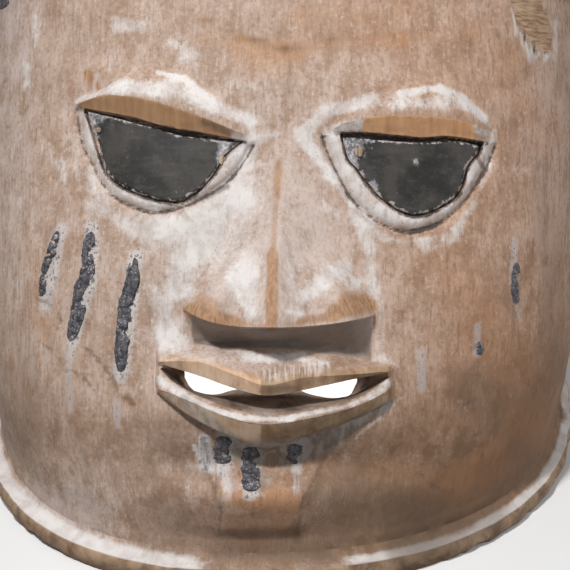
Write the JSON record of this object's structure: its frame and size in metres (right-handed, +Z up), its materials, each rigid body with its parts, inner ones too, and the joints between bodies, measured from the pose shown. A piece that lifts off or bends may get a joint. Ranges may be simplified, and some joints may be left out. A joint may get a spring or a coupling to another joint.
{
  "type": "lipiko helmet mask",
  "caption": "Hollow carved wooden helmet mask worn over the whole head, with inlaid dark eyes, parted lips and remains of raised wax marks on the cheeks and chin.",
  "frame": {"origin": "on the ground under the middle of the mask's box, the ground being the plane that the neck rim stands on", "axes": "+Z up out of the ground, face towards -Y, +X towards the viewer's right when facing the face"},
  "size_m": [0.2218, 0.257, 0.2447],
  "materials": {
    "carved_wood": "hand-carved light wood with worn tan-pink pigment and white kaolin wash, matt",
    "eye_plate": "smooth dark blackened plate, satin",
    "peg_wood": "raw golden wood, matt",
    "dark_wax": "dusty dark wax, matt"
  },
  "bodies": {
    "root": {"mask_shell": "carved_wood", "eye_inlay_left": "eye_plate", "eye_inlay_right": "eye_plate", "eye_peg_left_outer": "peg_wood", "eye_peg_left_inner": "peg_wood", "eye_peg_right_inner": "peg_wood", "cheek_wax_left_1": "dark_wax", "cheek_wax_left_2": "dark_wax", "cheek_wax_left_3": "dark_wax", "cheek_wax_right_1": "dark_wax", "cheek_wax_right_2": "dark_wax", "chin_wax_1": "dark_wax", "chin_wax_2": "dark_wax", "chin_wax_3": "dark_wax", "hair_wax_left": "dark_wax", "hair_wax_right": "dark_wax"}
  },
  "joints": []
}
